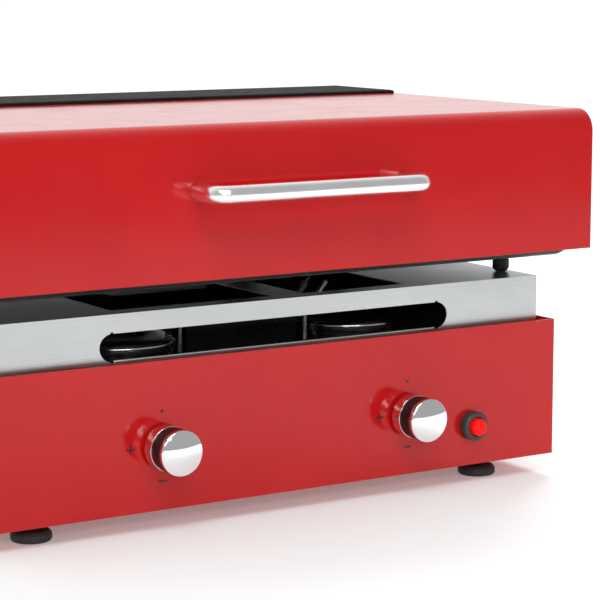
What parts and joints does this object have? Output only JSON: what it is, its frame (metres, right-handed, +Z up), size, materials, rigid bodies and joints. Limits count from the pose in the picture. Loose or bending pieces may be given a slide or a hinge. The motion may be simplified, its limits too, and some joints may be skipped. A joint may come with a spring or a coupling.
{
  "type": "gas barbecue grill",
  "caption": "Table-top gas griddle barbecue: open sheet base on feet, slotted steel burner frame, griddle plate on posts, hinged hood with bar handle, push-turn knobs and igniter button.",
  "frame": {"origin": "centre of the bounding box in X and Y, on the surface that the four feet stand on", "axes": "+X to the user's right along the width, +Y from the knobs to the back, +Z up"},
  "size_m": [0.6654, 0.505, 0.3648],
  "materials": {
    "red_paint": "gloss powder coat, signal red",
    "black_paint": "satin black powder coat",
    "enamel": "black vitreous enamel on steel",
    "brushed_steel": "stainless sheet, grain along its length",
    "chrome": "polished chrome plate",
    "brass": "turned brass",
    "aluminium": "die cast and drawn aluminium",
    "zinc_steel": "zinc plated steel",
    "rubber": "dark grey moulded rubber",
    "grip_plastic": "black moulded plastic",
    "bezel_plastic": "dark grey moulded plastic",
    "red_plastic": "bright red moulded plastic",
    "ceramic": "brown glazed alumina",
    "burner_steel": "pressed stainless burner head, tinted by heat"
  },
  "bodies": {
    "base": {"base_shell": "red_paint", "foot_front_left": "rubber", "foot_nut_front_left": "zinc_steel", "burner_cap_left_front": "burner_steel", "foot_front_right": "rubber", "foot_nut_front_right": "zinc_steel", "burner_cap_right_front": "burner_steel", "foot_rear_left": "rubber", "foot_nut_rear_left": "zinc_steel", "burner_cap_left_rear": "burner_steel", "foot_rear_right": "rubber", "foot_nut_rear_right": "zinc_steel", "burner_cap_right_rear": "burner_steel", "burner_frame": "brushed_steel", "heat_shield": "enamel", "drip_tray": "enamel", "burner_left": "burner_steel", "gas_valve_left": "aluminium", "injector_left": "brass", "electrode_left": "ceramic", "flame_probe_left": "zinc_steel", "hood_bracket_left": "black_paint", "burner_right": "burner_steel", "gas_valve_right": "aluminium", "injector_right": "brass", "electrode_right": "ceramic", "flame_probe_right": "zinc_steel", "hood_bracket_right": "black_paint", "gas_pipe": "aluminium", "gas_inlet": "brass", "igniter_bezel": "bezel_plastic", "igniter_nut": "zinc_steel", "igniter_piezo": "grip_plastic", "rear_cowl": "black_paint", "hinge_barrel": "black_paint", "hinge_pin": "zinc_steel"},
    "griddle": {"griddle_plate": "enamel", "plate_post_front_left": "rubber", "plate_post_front_right": "rubber", "plate_post_rear_left": "rubber", "plate_post_rear_right": "rubber"},
    "lid": {"lid_shell": "red_paint", "lid_handle": "chrome", "handle_screw_left": "zinc_steel", "handle_screw_right": "zinc_steel", "hinge_knuckle_left": "black_paint", "hinge_knuckle_right": "black_paint"},
    "igniter_plunger": {"igniter_button": "red_plastic"},
    "knob_left_slider": {"knob_collar_left": "zinc_steel"},
    "knob_left": {"knob_stem_left": "zinc_steel", "knob_skirt_left": "chrome", "knob_grip_left": "grip_plastic", "knob_cap_left": "chrome"},
    "knob_right_slider": {"knob_collar_right": "zinc_steel"},
    "knob_right": {"knob_stem_right": "zinc_steel", "knob_skirt_right": "chrome", "knob_grip_right": "grip_plastic", "knob_cap_right": "chrome"}
  },
  "joints": [
    {"name": "lid_hinge", "type": "hinge", "parent": "base", "child": "lid", "pos_m": [0, 0.1334, 0.3608], "axis": [-1, 0, 0], "range_deg": [0, 100]},
    {"name": "griddle_lift", "type": "slide", "parent": "base", "child": "griddle", "axis": [0, 0, 1], "range_m": [0, 0.06]},
    {"name": "igniter_press", "type": "slide", "parent": "base", "child": "igniter_plunger", "axis": [0, 1, 0], "range_m": [0, 0.005], "stiffness_N_per_m": 1200, "springref_m": -0.003},
    {"name": "knob_left_push", "type": "slide", "parent": "base", "child": "knob_left_slider", "axis": [0, 1, 0], "range_m": [0, 0.003], "stiffness_N_per_m": 1500, "springref_m": -0.004},
    {"name": "knob_left_turn", "type": "hinge", "parent": "knob_left_slider", "child": "knob_left", "pos_m": [-0.132, -0.1828, 0.0782], "axis": [0, -1, 0], "range_deg": [0, 180]},
    {"name": "knob_right_push", "type": "slide", "parent": "base", "child": "knob_right_slider", "axis": [0, 1, 0], "range_m": [0, 0.003], "stiffness_N_per_m": 1500, "springref_m": -0.004},
    {"name": "knob_right_turn", "type": "hinge", "parent": "knob_right_slider", "child": "knob_right", "pos_m": [0.132, -0.1828, 0.0782], "axis": [0, -1, 0], "range_deg": [0, 180]}
  ]
}
